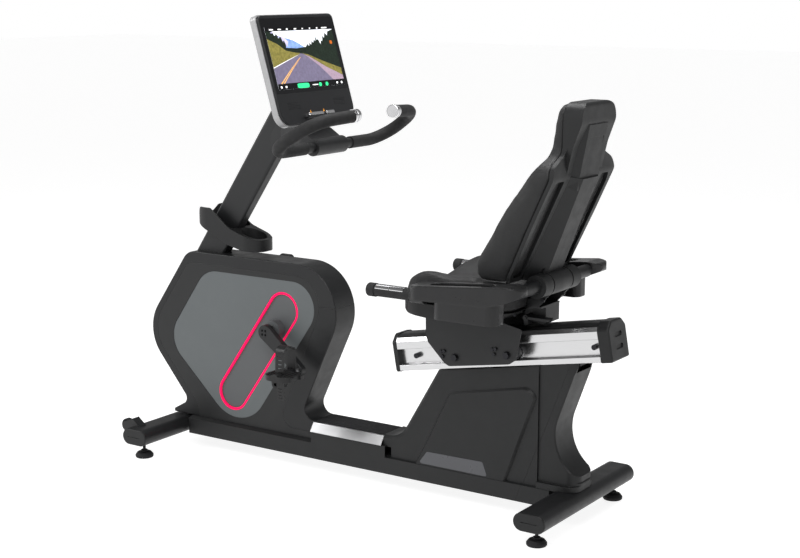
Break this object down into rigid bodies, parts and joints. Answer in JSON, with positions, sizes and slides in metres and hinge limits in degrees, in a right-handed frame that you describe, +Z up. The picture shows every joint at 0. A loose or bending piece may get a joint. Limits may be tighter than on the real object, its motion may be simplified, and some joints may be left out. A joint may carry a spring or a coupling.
{
  "type": "recumbent exercise bike",
  "caption": "Seated exercise bike with a shrouded crank drive, sliding chair seat on an inclined rail, leaning console mast and handlebar.",
  "frame": {"origin": "on the floor under the middle of the overall bounding box", "axes": "+Z up, -X towards the console and pedals, +X towards the seat, -Y the rider's left"},
  "size_m": [1.7539, 0.6256, 1.4682],
  "materials": {
    "frame_black": "satin black powder coat on steel",
    "cover_black": "fine satin-textured charcoal moulding",
    "band_black": "smooth satin charcoal moulding",
    "panel_grey": "satin mid-grey trim sheet",
    "ring_pink": "gloss hot pink bezel",
    "window_grey": "smoked grey gloss inlay",
    "rubber_black": "matt black rubber",
    "tread_metal": "brushed anodised aluminium",
    "rail_metal": "bright drawn aluminium",
    "bolt_steel": "black oxide steel",
    "bearing_steel": "ground steel",
    "wheel_iron": "machined cast iron",
    "belt_rubber": "ribbed rubber belt",
    "pulley_plastic": "glass-filled nylon",
    "coil_metal": "laminated steel with copper windings",
    "grip_foam": "close-cell foam rubber",
    "chrome_trim": "ribbed bright chrome",
    "bezel_black": "dark semi-gloss plastic",
    "console_silver": "silver metallic paint",
    "screen_glass": "black glass over a lit display",
    "pedal_black": "black nylon",
    "strap_black": "black flexible strap",
    "roller_nylon": "black nylon roller",
    "cushion_black": "black grained polyurethane foam skin",
    "arm_black": "smooth black integral-skin foam"
  },
  "bodies": {
    "base": {"main_frame": "frame_black", "front_stabilizer": "frame_black", "rear_stabilizer": "frame_black", "stabilizer_end_caps": "cover_black", "base_cover_left": "cover_black", "base_cover_right": "cover_black", "pedestal_rear_cover": "cover_black", "accent_windows": "window_grey", "step_trim": "tread_metal", "step_pad": "rubber_black", "shroud_band_upper": "band_black", "shroud_band_rear": "band_black", "side_cover_left": "cover_black", "side_cover_right": "cover_black", "side_panels": "panel_grey", "accent_rings": "ring_pink", "crank_bearings": "bearing_steel", "drive_belt": "belt_rubber", "generator_stator": "coil_metal", "mast": "frame_black", "handlebar": "frame_black", "handlebar_grips": "grip_foam", "handlebar_end_caps": "chrome_trim", "console_bezel": "bezel_black", "console_trim": "console_silver", "console_back": "cover_black", "screen": "screen_glass", "bottle_holder": "cover_black", "seat_rail": "rail_metal", "rail_top_cover": "cover_black", "rail_end_caps": "cover_black", "rail_stop_bolts": "bolt_steel"},
    "crank": {"crank_spindle": "bearing_steel", "crank_arms": "frame_black", "drive_pulley": "pulley_plastic", "pedal_axles": "bearing_steel"},
    "left_pedal": {"pedal_left": "pedal_black", "pedal_strap_left": "strap_black"},
    "right_pedal": {"pedal_right": "pedal_black", "pedal_strap_right": "strap_black"},
    "generator_wheel": {"flywheel": "wheel_iron"},
    "seat": {"carriage_frame": "frame_black", "carriage_bolts": "bolt_steel", "seat_pan": "cover_black", "seat_cushion": "cushion_black", "backrest_shell": "cover_black", "backrest_cushion": "cushion_black", "armrest_tube": "frame_black", "armrests": "arm_black", "seat_grips": "grip_foam", "pulse_sensors": "chrome_trim"},
    "front_roller_pair": {"front_rollers": "roller_nylon"},
    "rear_roller_pair": {"rear_rollers": "roller_nylon"},
    "seat_lever": {"release_lever": "frame_black"},
    "left_wheel": {"transport_wheel_left": "rubber_black"},
    "right_wheel": {"transport_wheel_right": "rubber_black"},
    "front_left_foot": {"foot_front_left": "rubber_black"},
    "front_right_foot": {"foot_front_right": "rubber_black"},
    "rear_left_foot": {"foot_rear_left": "rubber_black"},
    "rear_right_foot": {"foot_rear_right": "rubber_black"}
  },
  "joints": [
    {"name": "crank_spin", "type": "hinge", "parent": "base", "child": "crank", "pos_m": [-0.3348, 0, 0.455], "axis": [0, 1, 0], "continuous": true},
    {"name": "left_pedal_spin", "type": "hinge", "parent": "crank", "child": "left_pedal", "pos_m": [-0.20019, -0.187, 0.34793], "axis": [0, 1, 0], "continuous": true},
    {"name": "right_pedal_spin", "type": "hinge", "parent": "crank", "child": "right_pedal", "pos_m": [-0.46941, 0.187, 0.56207], "axis": [0, 1, 0], "continuous": true},
    {"name": "flywheel_spin", "type": "hinge", "parent": "base", "child": "generator_wheel", "pos_m": [-0.6068, 0, 0.405], "axis": [0, 1, 0], "continuous": true},
    {"name": "seat_slide", "type": "slide", "parent": "base", "child": "seat", "axis": [0.9848, 0, 0.1736], "range_m": [-0.136, 0.218]},
    {"name": "front_roller_spin", "type": "hinge", "parent": "seat", "child": "front_roller_pair", "pos_m": [0.37572, 0, 0.46545], "axis": [0, 1, 0], "range_deg": [-354.3, 567.8]},
    {"name": "rear_roller_spin", "type": "hinge", "parent": "seat", "child": "rear_roller_pair", "pos_m": [0.55299, 0, 0.49671], "axis": [0, 1, 0], "range_deg": [-354.3, 567.8]},
    {"name": "lever_lift", "type": "hinge", "parent": "seat", "child": "seat_lever", "pos_m": [0.5952, -0.044, 0.6075], "axis": [0, -1, 0], "range_deg": [0, 16], "stiffness_Nm_per_rad": 1.5, "springref_deg": -17.19},
    {"name": "left_wheel_spin", "type": "hinge", "parent": "base", "child": "left_wheel", "pos_m": [-0.8258, -0.24, 0.099], "axis": [0, 1, 0], "continuous": true},
    {"name": "right_wheel_spin", "type": "hinge", "parent": "base", "child": "right_wheel", "pos_m": [-0.8258, 0.24, 0.099], "axis": [0, 1, 0], "continuous": true},
    {"name": "front_left_level", "type": "slide", "parent": "base", "child": "front_left_foot", "axis": [0, 0, 1], "range_m": [-0.012, 0.018]},
    {"name": "front_right_level", "type": "slide", "parent": "base", "child": "front_right_foot", "axis": [0, 0, 1], "range_m": [-0.012, 0.018]},
    {"name": "rear_left_level", "type": "slide", "parent": "base", "child": "rear_left_foot", "axis": [0, 0, 1], "range_m": [-0.012, 0.018]},
    {"name": "rear_right_level", "type": "slide", "parent": "base", "child": "rear_right_foot", "axis": [0, 0, 1], "range_m": [-0.012, 0.018]}
  ],
  "couplings": [
    {"joint": "flywheel_spin", "follows": "crank_spin", "ratio": 6},
    {"joint": "front_roller_spin", "follows": "seat_slide", "rad_per_m": 45.455},
    {"joint": "rear_roller_spin", "follows": "seat_slide", "rad_per_m": 45.455}
  ]
}
